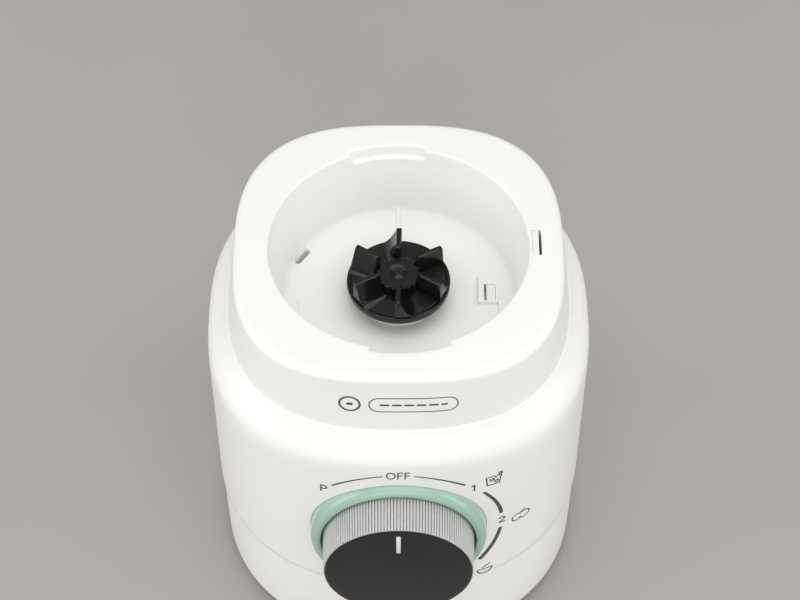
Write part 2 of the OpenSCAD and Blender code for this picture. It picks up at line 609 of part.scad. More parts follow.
jug_collar();
upper_housing();
lower_housing();
base_plate();
rubber_feet();
knob_bezel();
cord_gland();
shaft_seal();
collar_screws();
housing_screws();
bezel_screws();
stator_core();
field_coils();
upper_bracket();
lower_bracket();
upper_bearing();
lower_bearing();
brush_holders();
carbon_brushes();
brush_springs();
motor_through_screws();
motor_mounts();
mount_screws();
fan_shroud();
thermal_fuse();
switch_body();
switch_nut();
terminal_block();
suppressor_capacitor();
interlock_bracket();
seat_microswitch();
rim_microswitch();
seat_spring();
rim_spring();
motor_shaft();
rotor_core();
rotor_windings();
commutator();
cooling_fan();
slinger_washer();
coupling_insert();
drive_coupling();
knob_shell();
knob_core();
knob_face();
knob_pointer();
switch_shaft();
seat_pin();
seat_lever();
seat_button();
rim_pin();
rim_lever();
rim_button();
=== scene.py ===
"""Looks of the countertop blender's motor base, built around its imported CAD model.

Lengths in the shape helpers are in millimetres, with the origin on the motor axis at table height.
"""

import json
import math

import bmesh
import bpy
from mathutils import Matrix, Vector


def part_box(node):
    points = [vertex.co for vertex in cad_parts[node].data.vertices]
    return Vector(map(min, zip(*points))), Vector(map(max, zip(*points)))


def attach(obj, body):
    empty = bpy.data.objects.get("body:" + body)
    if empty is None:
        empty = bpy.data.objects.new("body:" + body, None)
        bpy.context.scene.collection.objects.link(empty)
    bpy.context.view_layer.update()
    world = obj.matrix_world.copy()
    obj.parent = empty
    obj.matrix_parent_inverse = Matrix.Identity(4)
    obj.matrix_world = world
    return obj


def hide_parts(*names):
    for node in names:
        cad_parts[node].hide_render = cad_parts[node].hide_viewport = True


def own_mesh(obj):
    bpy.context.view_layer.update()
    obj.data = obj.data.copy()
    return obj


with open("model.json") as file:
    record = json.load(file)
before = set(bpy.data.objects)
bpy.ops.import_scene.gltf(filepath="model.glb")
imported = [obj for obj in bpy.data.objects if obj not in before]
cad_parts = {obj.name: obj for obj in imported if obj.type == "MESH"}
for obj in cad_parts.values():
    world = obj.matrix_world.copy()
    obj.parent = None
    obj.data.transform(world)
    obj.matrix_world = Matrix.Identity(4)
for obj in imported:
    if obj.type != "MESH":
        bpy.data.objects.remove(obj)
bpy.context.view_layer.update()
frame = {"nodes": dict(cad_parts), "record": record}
NODES = frame["nodes"]
MM = 0.001

# ---------------------------------------------------------------- places and main sizes
shaft_low, shaft_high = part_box("motor_shaft")
skirt_low, skirt_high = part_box("knob_shell")
AXIS_Y = (shaft_low.y + shaft_high.y) / 2               # motor axis, in metres in the frame
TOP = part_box("jug_collar")[1].z / MM                    # rim of the jug seat
CREASE_Z = TOP - 32                                     # where the collar meets the shoulder
SEAT_Z = TOP - 35                                       # top of the seat floor
FLOOR_Z = SEAT_Z - 3                                    # underside of the seat floor
SEAM_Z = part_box("upper_housing")[0].z / MM              # seam between the two housings
KNOB_Z = (skirt_low.z + skirt_high.z) / 2 / MM          # knob axis
FIN_H = 10.0                                            # fins above the coupling's disc
DISC_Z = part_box("drive_coupling")[1].z / MM - FIN_H     # top of the coupling's disc
BODY_HALF = 86                                          # half the body's width
WALL = 2.5
SEAT_R = 57
KNOB_R = 34
BEZEL_R = 39.2
RIBS = 150                                              # ribs round the clear skirt
AROUND = 336                                            # points round a wall section


# ---------------------------------------------------------------- small helpers
def smooth(t):
    t = min(max(t, 0), 1)
    return t * t * (3 - 2 * t)


def lerp(a, b, t):
    return a + (b - a) * t


def spline(rows, z):
    """Values at height z from rows (z, values...), on a smooth curve with Catmull-Rom tangents."""
    if z <= rows[0][0]:
        return rows[0][1:]
    if z >= rows[-1][0]:
        return rows[-1][1:]
    for i in range(len(rows) - 1):
        if rows[i][0] <= z <= rows[i + 1][0]:
            break
    p1, p2 = rows[i], rows[i + 1]
    p0 = rows[i - 1] if i else p1
    p3 = rows[i + 2] if i + 2 < len(rows) else p2
    h = p2[0] - p1[0]
    t = (z - p1[0]) / h
    out = []
    for k in range(1, len(p1)):
        m1 = (p2[k] - p0[k]) / max(p2[0] - p0[0], 1e-6) * h
        m2 = (p3[k] - p1[k]) / max(p3[0] - p1[0], 1e-6) * h
        out.append(
            (2 * t**3 - 3 * t**2 + 1) * p1[k]
            + (t**3 - 2 * t**2 + t) * m1
            + (-2 * t**3 + 3 * t**2) * p2[k]
            + (t**3 - t**2) * m2
        )
    return tuple(out)


def outline_point(a, b, n, ang):
    """Point at an angle on a superellipse of half width a, half depth b and exponent n."""
    c, s = math.cos(ang), math.sin(ang)
    r = ((abs(c) / a) ** n + (abs(s) / b) ** n) ** (-1 / n)
    return r * c, r * s


def mesh_object(name, verts, faces):
    """A mesh from millimetres about the motor axis."""
    mesh = bpy.data.meshes.new(name)
    mesh.from_pydata([(v[0] * MM, v[1] * MM + AXIS_Y, v[2] * MM) for v in verts], [], faces)
    mesh.update()
    ob = bpy.data.objects.new(name, mesh)
    bpy.context.scene.collection.objects.link(ob)
    return ob


MERGE = 2e-6                    # points nearer than this, in metres, are one


def fix_mesh(ob, angle=35):
    """Merges doubled points, makes the normals face outwards and shades smooth below the angle."""
    bm = bmesh.new()
    bm.from_mesh(ob.data)
    bmesh.ops.remove_doubles(bm, verts=bm.verts, dist=MERGE)
    bmesh.ops.dissolve_degenerate(bm, edges=bm.edges, dist=1e-7)
    bmesh.ops.recalc_face_normals(bm, faces=bm.faces)
    bm.to_mesh(ob.data)
    bm.free()
    for p in ob.data.polygons:
        p.use_smooth = True
    ob.data.set_sharp_from_angle(angle=math.radians(angle))
    return ob


def loft(name, rings, closed_loop=True):
    """Skins rings of equal length, around in a loop, or with flat caps at both ends."""
    n = len(rings[0])
    verts = [p for r in rings for p in r]
    faces = []
    count = len(rings)
    for i in range(count if closed_loop else count - 1):
        k = (i + 1) % count
        for j in range(n):
            m = (j + 1) % n
            faces.append((i * n + j, i * n + m, k * n + m, k * n + j))
    if not closed_loop:
        faces.append(tuple(range(n - 1, -1, -1)))
        faces.append(tuple((count - 1) * n + j for j in range(n)))
    return mesh_object(name, verts, faces)


def revolve(name, profile, steps=192, ripple=None, place=None):
    """Turns (radius, height) points round local Z; ripple(ang, r) may change the radius."""
    verts, index, faces = [], [], []
    for r, h in profile:
        if r < 1e-6:
            index.append([len(verts)] * steps)
            verts.append((0, 0, h))
            continue
        row = []
        for j in range(steps):
            ang = 2 * math.pi * j / steps
            rr = ripple(ang, r) if ripple else r
            row.append(len(verts))
            verts.append((rr * math.cos(ang), rr * math.sin(ang), h))
        index.append(row)
    count = len(profile)
    for i in range(count):
        a, b = index[i], index[(i + 1) % count]
        if a[0] == a[-1] and b[0] == b[-1]:
            continue
        for j in range(steps):
            m = (j + 1) % steps
            quad = [a[j], a[m], b[m], b[j]]
            face = [v for q, v in enumerate(quad) if v not in quad[:q]]
            if len(face) > 2:
                faces.append(tuple(face))
    if place:
        verts = [place(v) for v in verts]
    return mesh_object(name, verts, faces)


def on_knob(v):
    """Knob-local (right, up, outwards) to the shape frame."""
    return (v[0], -BODY_HALF - v[2], KNOB_Z + v[1])


def rounded_box(name, x0, x1, y0, y1, z0, z1, r=0.4, segments=2):
    """A box from its low and high sides, with rounded edges of radius r."""
    bm = bmesh.new()
    bmesh.ops.create_cube(bm, size=1)
    for v in bm.verts:
        v.co = Vector(((x0 + x1) / 2 + v.co.x * (x1 - x0),
                       (y0 + y1) / 2 + v.co.y * (y1 - y0),
                       (z0 + z1) / 2 + v.co.z * (z1 - z0)))
    bmesh.ops.bevel(bm, geom=bm.edges[:], offset=r, segments=segments, profile=0.5, affect="EDGES")
    verts = [tuple(v.co) for v in bm.verts]
    bm.verts.index_update()
    faces = [tuple(v.index for v in f.verts) for f in bm.faces]
    bm.free()
    return mesh_object(name, verts, faces)


def boolean(ob, cutter):
    """Cuts the cutter out of the object and removes it."""
    mod = ob.modifiers.new("cut", "BOOLEAN")
    mod.operation = "DIFFERENCE"
    mod.solver = "EXACT"
    mod.object = cutter
    bpy.context.view_layer.update()
    graph = bpy.context.evaluated_depsgraph_get()
    mesh = bpy.data.meshes.new_from_object(ob.evaluated_get(graph))
    ob.modifiers.clear()
    ob.data = mesh
    bpy.data.objects.remove(cutter)
    return ob


def join(name, obs):
    """One object out of several, each keeping its own closed mesh."""
    verts, faces, at = [], [], 0
    for o in obs:
        m = o.matrix_world
        verts += [tuple(m @ v.co) for v in o.data.vertices]
        faces += [tuple(at + i for i in p.vertices) for p in o.data.polygons]
        at = len(verts)
        bpy.data.objects.remove(o)
    mesh = bpy.data.meshes.new(name)
    mesh.from_pydata(verts, [], faces)
    mesh.update()
    ob = bpy.data.objects.new(name, mesh)
    bpy.context.scene.collection.objects.link(ob)
    return ob


# ---------------------------------------------------------------- materials
def material(name, color, rough=0.4, metal=0.0, coat=0.0, grain=0.0, grain_mm=0.3, mottle=0.03,
             mottle_mm=25, rough_var=0.05, ior=1.46, transmission=0.0, streak=False):
    """A Principled material whose colour, roughness and bump all come from noise in object space."""
    mat = bpy.data.materials.new(name)
    mat.use_nodes = True
    mat.diffuse_color = (*color, 1.0)
    tree = mat.node_tree
    nodes, links = tree.nodes, tree.links
    shader = nodes["Principled BSDF"]
    coords = nodes.new("ShaderNodeTexCoord")
    where = coords.outputs["Object"]
    if streak:
        squeeze = nodes.new("ShaderNodeMapping")
        squeeze.inputs["Scale"].default_value = (1, 1, 0.04)
        links.new(where, squeeze.inputs["Vector"])
        where = squeeze.outputs["Vector"]
    wide = nodes.new("ShaderNodeTexNoise")
    wide.inputs["Scale"].default_value = 1 / (mottle_mm * MM)
    wide.inputs["Detail"].default_value = 3
    links.new(coords.outputs["Object"], wide.inputs["Vector"])
    ramp = nodes.new("ShaderNodeValToRGB")
    ramp.color_ramp.elements[0].position = 0.3
    ramp.color_ramp.elements[1].position = 0.7
    ramp.color_ramp.elements[0].color = (*[c * (1 - mottle) for c in color], 1)
    ramp.color_ramp.elements[1].color = (*[min(c * (1 + mottle), 1) for c in color], 1)
    links.new(wide.outputs["Fac"], ramp.inputs["Fac"])
    links.new(ramp.outputs["Color"], shader.inputs["Base Color"])
    fine = nodes.new("ShaderNodeTexNoise")
    fine.inputs["Scale"].default_value = 1 / (grain_mm * MM)
    fine.inputs["Detail"].default_value = 2
    links.new(where, fine.inputs["Vector"])
    span = nodes.new("ShaderNodeMapRange")
    span.inputs["To Min"].default_value = max(rough - rough_var, 0.02)
    span.inputs["To Max"].default_value = min(rough + rough_var, 1)
    links.new(fine.outputs["Fac"], span.inputs["Value"])
    links.new(span.outputs["Result"], shader.inputs["Roughness"])
    if grain:
        bump = nodes.new("ShaderNodeBump")
        bump.inputs["Strength"].default_value = grain
        bump.inputs["Distance"].default_value = 0.05 * MM
        links.new(fine.outputs["Fac"], bump.inputs["Height"])
        links.new(bump.outputs["Normal"], shader.inputs["Normal"])
    shader.inputs["Metallic"].default_value = metal
    shader.inputs["IOR"].default_value = ior
    shader.inputs["Coat Weight"].default_value = coat
    shader.inputs["Transmission Weight"].default_value = transmission
    return mat


WHITE = material("white_plastic", (0.90, 0.90, 0.872), rough=0.36, grain=0.25, grain_mm=0.35, mottle=0.008,
                 mottle_mm=60, rough_var=0.05)
COLLAR_WHITE = material("collar_plastic", (0.905, 0.905, 0.878), rough=0.42, grain=0.12, grain_mm=0.4,
                        mottle=0.006, mottle_mm=60, rough_var=0.04)
GREEN = material("sage_plastic", (0.345, 0.52, 0.41), rough=0.16, grain=0.05, grain_mm=0.5,
                 mottle=0.02, mottle_mm=30, rough_var=0.03, coat=0.4)
CLEAR = material("clear_plastic", (0.93, 0.94, 0.93), rough=0.12, mottle=0.01, rough_var=0.03, ior=1.49,
                 transmission=0.5)
# painted shade: a dark, less clear colour for the skirt's grooves, standing in for the dark reflections
# between the ribs
GROOVE_PAINTED_SHADE = material("clear_groove_painted_shade", (0.20, 0.205, 0.20), rough=0.25, mottle=0.03, rough_var=0.05,
                        ior=1.49, transmission=0.25)
REFLECTOR = material("reflector_plastic", (0.86, 0.87, 0.86), rough=0.3, mottle=0.02, rough_var=0.05)
BLACK_GLOSS = material("black_gloss", (0.008, 0.008, 0.009), rough=0.09, grain=0.04, grain_mm=0.8,
                       mottle=0.2, rough_var=0.03)
BLACK_MOULD = material("black_moulded", (0.007, 0.007, 0.006), rough=0.17, grain=0.15, grain_mm=0.5,
                       mottle=0.25, mottle_mm=8, rough_var=0.07)
RUBBER = material("grey_rubber", (0.045, 0.045, 0.048), rough=0.7, grain=0.5, grain_mm=0.4, mottle=0.1)
PIN_GREY = material("pin_plastic", (0.88, 0.88, 0.86), rough=0.4, grain=0.2, mottle=0.03)
INK = material("print_ink", (0.060, 0.075, 0.068), rough=0.45, grain=0.2, grain_mm=0.2, mottle=0.12,
               mottle_mm=3)
BASE_GREY = material("base_plastic", (0.62, 0.62, 0.60), rough=0.5, grain=0.5, grain_mm=0.5, mottle=0.03)
STEEL = material("zinc_steel", (0.55, 0.56, 0.58), rough=0.34, metal=1, grain=0.3, grain_mm=0.25,
                 mottle=0.08, mottle_mm=4, rough_var=0.1)
SHAFT = material("ground_steel", (0.62, 0.62, 0.64), rough=0.2, metal=1, grain=0.3, grain_mm=0.2,
                 mottle=0.04, rough_var=0.08, streak=True)
LAMINATION = material("laminations", (0.10, 0.11, 0.13), rough=0.45, metal=0.7, grain=0.7, grain_mm=0.5,
                      mottle=0.2, mottle_mm=6)
COPPER = material("enamelled_copper", (0.62, 0.22, 0.07), rough=0.28, metal=0.9, grain=0.9, grain_mm=0.35,
                  mottle=0.15, mottle_mm=3, coat=0.4)
BRASS = material("brass", (0.72, 0.50, 0.20), rough=0.3, metal=1, grain=0.3, mottle=0.08, mottle_mm=4)
BRONZE = material("sintered_bronze", (0.42, 0.25, 0.11), rough=0.5, metal=1, grain=0.8, grain_mm=0.2,
                  mottle=0.15, mottle_mm=3)
ALUMINIUM = material("die_cast", (0.62, 0.63, 0.65), rough=0.5, metal=1, grain=0.7, grain_mm=0.5,
                     mottle=0.05)
CARBON = material("carbon", (0.03, 0.03, 0.032), rough=0.55, grain=0.6, mottle=0.2, mottle_mm=3)
IVORY = material("ivory_plastic", (0.72, 0.67, 0.52), rough=0.4, grain=0.3, mottle=0.04)
YELLOW = material("yellow_case", (0.72, 0.48, 0.05), rough=0.3, grain=0.2, mottle=0.05)
RED = material("red_plastic", (0.55, 0.05, 0.02), rough=0.35, grain=0.2, mottle=0.06, mottle_mm=3)
DARK = material("dark_plastic", (0.022, 0.022, 0.025), rough=0.42, grain=0.4, grain_mm=0.4, mottle=0.15)

SLOT_MATERIAL = {
    "white_shell": WHITE, "green_ring": GREEN, "clear_knob": CLEAR, "knob_white": REFLECTOR,
    "knob_black": BLACK_GLOSS, "coupling_black": BLACK_MOULD, "pin_grey": PIN_GREY, "rubber_grey": RUBBER,
    "base_grey": BASE_GREY, "switch_black": DARK, "fan_grey": DARK, "steel": STEEL, "shaft_steel": SHAFT,
    "lamination": LAMINATION, "copper": COPPER, "brass": BRASS, "bronze": BRONZE, "aluminium": ALUMINIUM,
    "carbon": CARBON, "ivory": IVORY, "yellow": YELLOW, "red_button": RED,
}
for part in frame["record"]["subparts"]:
    ob = NODES[part["node"]]
    ob.data.materials.clear()
    ob.data.materials.append(SLOT_MATERIAL[part["material_slot"]])
    for p in ob.data.polygons:
        p.use_smooth = True
    ob.data.set_sharp_from_angle(angle=math.radians(30))


def settle(ob, mat, body, replaced=(), angle=35):
    """Gives a new piece its material and its body, and hides the CAD nodes that it stands for."""
    ob.data.materials.clear()
    ob.data.materials.append(mat)
    fix_mesh(ob, angle)
    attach(ob, body)
    if replaced:
        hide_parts(*replaced)
    return ob


# ---------------------------------------------------------------- jug collar
# rows of height, half width, half depth and exponent of the collar's outline
COLLAR_WALL = [
    (CREASE_Z, 76.0, 76.0, 2.50), (CREASE_Z + 3.5, 75.5, 75.6, 2.55), (CREASE_Z + 7, 75.1, 75.35, 2.6),
    (CREASE_Z + 14, 74.3, 74.9, 2.68), (TOP - 12, 73.4, 74.4, 2.75), (TOP - 3, 72.1, 73.75, 2.85),
]
EDGE_R = 3.0                    # rounding of the rim's outer edge
RIM_IN_R = 61.8                 # where the flat rim gives way to the notches
MOUTH_R = 0.8                   # rounding of the seat's and the notches' mouths
LAND_H = 9                      # depth of the straight wall that centres the jug
FILLET_R = 3.0                  # between the seat's sloping wall and its floor
FLOOR_R = 52.0
SHAFT_HOLE_R = 12.6
SHELL_R = 63.2                  # outside of the well, under the rim
NOTCH_REACH = 59.3
NOTCH_DEPTH = 6
NOTCH_FROM, NOTCH_TO = -12.0, 20.5
NOTCH_SLOPE = 2.7
NOTCH_EDGE = 0.5                # width of the steep end of a notch
NOTCH_MID = 58.2                # radius at which the notch ends are measured along the rim


def notch_amount(ang):
    """1 inside a lug notch, 0 outside, sloping at the end where the jug turns home."""
    for turn in (0, math.pi):
        off = (ang + math.pi / 2 - turn + math.pi) % (2 * math.pi) - math.pi
        s = off * NOTCH_MID
        if NOTCH_FROM <= s <= NOTCH_TO:
            return 1
        if NOTCH_FROM - NOTCH_EDGE < s < NOTCH_FROM:
            return smooth((s - NOTCH_FROM + NOTCH_EDGE) / NOTCH_EDGE)
        if NOTCH_TO < s < NOTCH_TO + NOTCH_SLOPE:
            t = 1 - (s - NOTCH_TO) / NOTCH_SLOPE
            return lerp(t, smooth(t), 0.5)
    return 0


def collar_angles():
    """Even steps round the collar, with more where a notch begins and ends."""
    angles = [2 * math.pi * j / AROUND for j in range(AROUND)]
    for turn in (0, math.pi):
        for s in (-0.7, -0.5, -0.4, -0.25, -0.1, 0, 0.3):
            angles.append((-math.pi / 2 + turn + (NOTCH_FROM + s) / NOTCH_MID) % (2 * math.pi))
        for s in (-0.4, 0, 0.3, 0.7, 1.35, 2.0, 2.4, NOTCH_SLOPE, 3.1):
            angles.append((-math.pi / 2 + turn + (NOTCH_TO + s) / NOTCH_MID) % (2 * math.pi))
    angles.sort()
    return [a for i, a in enumerate(angles) if i == 0 or a - angles[i - 1] > 5e-4]


def collar_column(ang):
    """The collar's section at one angle, from the crease up, over the rim, down the well and back."""
    c, s = math.cos(ang), math.sin(ang)
    k = notch_amount(ang)
    floor = TOP - NOTCH_DEPTH * k
    out = []

    def wall(z, inset=0.0, height=None):
        a, b, n = spline(COLLAR_WALL, z)
        x, y = outline_point(a - inset, b - inset, n, ang)
        out.append((x, y, z if height is None else height))

    def circle(r, z):
        out.append((r * c, r * s, z))

    for i in range(13):
        wall(lerp(CREASE_Z, TOP - EDGE_R, i / 12))
    for i in range(1, 9):
        t = math.pi / 2 * i / 8
        wall(TOP - EDGE_R, EDGE_R * (1 - math.cos(t)), TOP - EDGE_R + EDGE_R * math.sin(t))
    ex, ey, _ = out[-1]
    for t in (0.35, 0.7):
        out.append((lerp(ex, RIM_IN_R * c, t), lerp(ey, RIM_IN_R * s, t), TOP))
    circle(RIM_IN_R, TOP)
    # edge of the notch, or flat rim where there is none
    for i in range(4):
        t = math.pi / 2 * i / 3
        drop = min(MOUTH_R, NOTCH_DEPTH * k) * (1 - math.cos(t))
        circle(NOTCH_REACH + MOUTH_R * (1 - math.sin(t)), TOP - drop)
    circle(NOTCH_REACH - 0.02, min(TOP, floor + 0.5 * k))
    circle(NOTCH_REACH - 0.15, min(TOP, floor + 0.15 * k))
    circle(NOTCH_REACH - 0.6, floor)
    circle(lerp(NOTCH_REACH, SEAT_R, 0.5), floor)
    for i in range(5):
        t = math.pi / 2 * i / 4
        circle(SEAT_R + MOUTH_R * (1 - math.sin(t)), floor - MOUTH_R * (1 - math.cos(t)))
    land = TOP - LAND_H
    circle(SEAT_R, lerp(floor - MOUTH_R, land + 0.6, 0.5))
    circle(SEAT_R, land + 0.5)
    circle(SEAT_R - 0.05, land)
    for t in (0.03, 0.25, 0.5, 0.75):
        circle(lerp(SEAT_R, FLOOR_R, t), lerp(land, SEAT_Z + FILLET_R, t))
    for i in range(7):
        t = math.pi / 2 * i / 6
        circle(FLOOR_R - FILLET_R * (1 - math.cos(t)), SEAT_Z + FILLET_R - FILLET_R * math.sin(t))
    for r in (42, 30, 20, SHAFT_HOLE_R):
        circle(r, SEAT_Z)
    # the underside, from the shaft's hole out to the collar's foot
    circle(SHAFT_HOLE_R, FLOOR_Z)
    circle(30, FLOOR_Z)
    circle(51.1, FLOOR_Z)
    circle(54.4, SEAT_Z + 3)
    circle(59.6, land - 2)
    circle(SHELL_R, land + 1)
    circle(SHELL_R, TOP - WALL - 1)
    wall(TOP - EDGE_R, WALL + 1.5, TOP - WALL - 1)
    wall(TOP - EDGE_R, WALL, TOP - WALL - 3)
    wall(CREASE_Z, WALL)
    return out


# slots as (low x, high x, low y, high y)
RIM_SLOT = (58.3, 62.4, -5.7, 8.7)
SEAT_SLOT = (38.2, 43.4, -3.95, 5.45)
SEAT_FRAME = (35.4, 44.4, -4.9, 9.5)
DRAIN_X, DRAIN_Y, DRAIN_TURN = -43.7, 23.2, 55
DRAIN_HALF, DRAIN_R = 3.4, 1.4  # half length between the round ends, and their radius


def drain_rings(rows, steps=32):
    """Slot-shaped rings at the drain's place, from rows of how far past its edge and how high."""
    turn = math.radians(DRAIN_TURN)
    rings = []
    for extra, z in rows:
        ring = []
        for j in range(steps):
            ang = 2 * math.pi * (j + 0.5) / steps
            u = (DRAIN_R + extra) * math.cos(ang) + math.copysign(DRAIN_HALF, math.cos(ang))
            w = (DRAIN_R + extra) * math.sin(ang)
            ring.append((DRAIN_X + u * math.cos(turn) - w * math.sin(turn),
                         DRAIN_Y + u * math.sin(turn) + w * math.cos(turn), z))
        rings.append(ring)
    return rings


columns = [collar_column(a) for a in collar_angles()]
collar = loft("collar", [[col[i] for col in columns] for i in range(len(columns[0]))])
fix_mesh(collar)
boolean(collar, rounded_box("cutter", *RIM_SLOT, TOP - 40, TOP + 2, r=0.5))
boolean(collar, rounded_box("cutter", *SEAT_SLOT, FLOOR_Z - 4, SEAT_Z + 4, r=0.5))
drain_cut = [(0, FLOOR_Z - 5), (0, SEAT_Z - 0.4), (0.1, SEAT_Z - 0.15), (0.45, SEAT_Z + 0.1),
             (0.45, SEAT_Z + 3)]
cutter = loft("cutter", drain_rings(drain_cut), closed_loop=False)
fix_mesh(cutter)
boolean(collar, cutter)
drain_spout = [(1.6, FLOOR_Z + 1), (1.4, FLOOR_Z - 6), (-0.3, FLOOR_Z - 6), (0.02, FLOOR_Z + 1)]
spout = loft("spout", drain_rings(drain_spout))
frame_ring = rounded_box("pin_frame", *SEAT_FRAME, SEAT_Z - 0.3, SEAT_Z + 1.8, r=0.45, segments=3)
fix_mesh(frame_ring)
boolean(frame_ring, rounded_box("cutter", *SEAT_SLOT, SEAT_Z - 4, SEAT_Z + 4, r=0.5))

details = [
    collar, spout, frame_ring,
    rounded_box("rib", -0.85, 0.85, 24, 53.5, SEAT_Z - 0.6, SEAT_Z + 1.6, r=0.5),
    revolve("boss", [(14.9, SEAT_Z - 0.3), (14.9, SEAT_Z + 1.6), (15.3, SEAT_Z + 2), (16.1, SEAT_Z + 2),
                     (16.6, SEAT_Z + 1.5), (17.4, SEAT_Z - 0.3)], 160),
]
for side in (-1, 1):
    xs = sorted((side * 44.5, side * 50.3))
    details.append(rounded_box("pad", *xs, -15.5, -2.6, SEAT_Z - 0.6, SEAT_Z + 0.8, r=0.4))
collar = join("collar", details)
settle(collar, COLLAR_WHITE, "base", ["jug_collar"])

# ---------------------------------------------------------------- housings
# rows of height, half width and exponent of the upper housing's outline
UPPER_WALL = [
    (SEAM_Z, 86.0, 2.30), (KNOB_Z, 86.0, 2.40), (SEAM_Z + 75, 85.95, 2.5), (SEAM_Z + 88, 85.9, 2.55),
    (CREASE_Z - 14.6, 85.55, 2.55), (CREASE_Z - 12.4, 84.9, 2.55), (CREASE_Z - 10.4, 83.9, 2.55),
    (CREASE_Z - 8.6, 82.7, 2.54), (CREASE_Z - 7.0, 81.4, 2.53), (CREASE_Z - 4, 79.0, 2.52),
    (CREASE_Z - 1.4, 77.15, 2.5), (CREASE_Z - 0.5, 76.7, 2.5),
]


def wall_ring(a, n, z):
    """A level section of a housing, of half width a and exponent n."""
    return [(*outline_point(a, a, n, 2 * math.pi * j / AROUND), z) for j in range(AROUND)]


rings = [wall_ring(a, 2.3, SEAM_Z + up) for a, up in ((85.4, 0), (85.8, 0.12), (86.0, 0.5))]
levels = [SEAM_Z + 4 + 5 * i for i in range(16)]
levels += [136, 139, 141, 142.5, *range(144, 153), 153.5, 155, 156.5, 157.5]
for z in levels:
    a, n = spline(UPPER_WALL, z)
    rings.append(wall_ring(a, n, z))
rings += [wall_ring(76.3, 2.5, CREASE_Z - 0.1), wall_ring(75.8, 2.5, CREASE_Z),
          wall_ring(71, 2.5, CREASE_Z), wall_ring(71, 2.5, CREASE_Z - WALL),
          wall_ring(74.8, 2.5, CREASE_Z - WALL),
          wall_ring(80.3, 2.53, CREASE_Z - 10), wall_ring(83.3, 2.55, CREASE_Z - 18),
          wall_ring(83.5, 2.4, KNOB_Z), wall_ring(83.5, 2.3, SEAM_Z)]
upper = loft("upper_shell", rings)
fix_mesh(upper)
hole_r = BEZEL_R + 0.15
cutter = revolve("cutter", [(0, -14), (hole_r, -14), (hole_r, 8), (0, 8)], 256, place=on_knob)
fix_mesh(cutter)
boolean(upper, cutter)
settle(upper, WHITE, "base", ["upper_housing"])

rings = [wall_ring(a, 2.3, z) for a, z in ((83.2, 4), (83.8, 4.05), (84.3, 4.6), (84.6, 6))]
rings += [wall_ring(lerp(84.6, 85.0, smooth(i / 4)), 2.3, lerp(9, 24, i / 4)) for i in range(5)]
rings += [wall_ring(85.0, 2.3, z) for z in (32, 40, 46, 48.2)]
rings += [wall_ring(a, 2.3, z) for a, z in ((84.9, 48.9), (84.5, 49.2), (83.1, 49.2), (83.1, SEAM_Z + 3),
                                            (81.4, SEAM_Z + 3), (81.4, 4))]
lower = loft("lower_shell", rings)
fix_mesh(lower)
GLAND_Z, GLAND_R = 24, 7.0
cutter = revolve("cutter", [(0, 70), (GLAND_R, 70), (GLAND_R, 100), (0, 100)], 96,
                 place=lambda v: (v[0], v[2], GLAND_Z + v[1]))
fix_mesh(cutter)
boolean(lower, cutter)
settle(lower, WHITE, "base", ["lower_housing"])

# ---------------------------------------------------------------- knob ring, knob and drive coupling
BEZEL_OUT = 3.5                 # how far the ring stands out from the wall
CUP_R = KNOB_R + 0.6
SWITCH_HOLE_R = 5


def quarter(cx, cy, rx, ry, a0, a1, steps=8):
    """Profile points on part of an ellipse; angles in degrees."""
    return [(cx + rx * math.cos(math.radians(lerp(a0, a1, i / steps))),
             cy + ry * math.sin(math.radians(lerp(a0, a1, i / steps)))) for i in range(steps + 1)]


ring_profile = [(SWITCH_HOLE_R, -8.5), (30, -8.8), (BEZEL_R, -9.8), (BEZEL_R, -3)]
ring_profile += quarter(CUP_R + 1.0, -0.6, BEZEL_R - CUP_R - 1.0, BEZEL_OUT + 0.6, 0, 90, 12)
ring_profile += quarter(CUP_R + 0.9, BEZEL_OUT - 0.9, 0.9, 0.9, 100, 180, 5)
ring_profile += [(CUP_R, 0), (CUP_R, -5), (CUP_R - 1, -6), (SWITCH_HOLE_R, -6)]
bezel = revolve("knob_ring", ring_profile, 288, place=on_knob)
settle(bezel, GREEN, "base", ["knob_bezel"], angle=40)

CORE_R = KNOB_R - 3.1
FACE_R = KNOB_R - 1.3
FACE_OUT = 18.9                 # where the black face meets the ribbed skirt
KNOB_OUT = 20.5
RIB_DEPTH = 0.42
GROOVE = 0.3                    # share of the rib pitch that is groove
PER_RIB = 8                     # points to a rib


def ribbed(ang, r):
    """Grooves between the ribs, at radii that lie on the outside."""
    if r < FACE_R - 1.2:
        return r
    u = (ang * RIBS / (2 * math.pi)) % 1
    side = min(u, 1 - u) * 2
    return r - RIB_DEPTH * (1 - smooth(side / (2 * GROOVE))) - 0.06 * side**2


foot_r = KNOB_R - 0.05
skirt_profile = [(CORE_R + 0.15, -4), (KNOB_R - 0.5, -4), (foot_r, -3.6)]
skirt_profile += [(lerp(foot_r, KNOB_R - 0.8, i / 8), lerp(-3, FACE_OUT - 0.6, i / 8)) for i in range(9)]
skirt_profile += [(KNOB_R - 0.95, FACE_OUT - 0.15), (KNOB_R - 1.2, FACE_OUT), (CORE_R + 0.15, FACE_OUT)]
shell = revolve("knob_skirt", skirt_profile, RIBS * PER_RIB, ripple=ribbed, place=on_knob)
settle(shell, CLEAR, "knob", ["knob_shell"], angle=60)
shell.data.materials.append(GROOVE_PAINTED_SHADE)
# the groove faces take the painted shade, so the ribs show as light and dark stripes
for face in shell.data.polygons:
    x, z = face.center.x / MM, face.center.z / MM - KNOB_Z
    if math.hypot(x, z) > FACE_R - 1:
        u = (math.atan2(z, x) * RIBS / (2 * math.pi)) % 1
        if min(u, 1 - u) < GROOVE / 2:
            face.material_index = 1


def face_height(r):
    """How far out the slightly domed face lies at a radius."""
    return KNOB_OUT - 1.1 * (r / CORE_R) ** 2


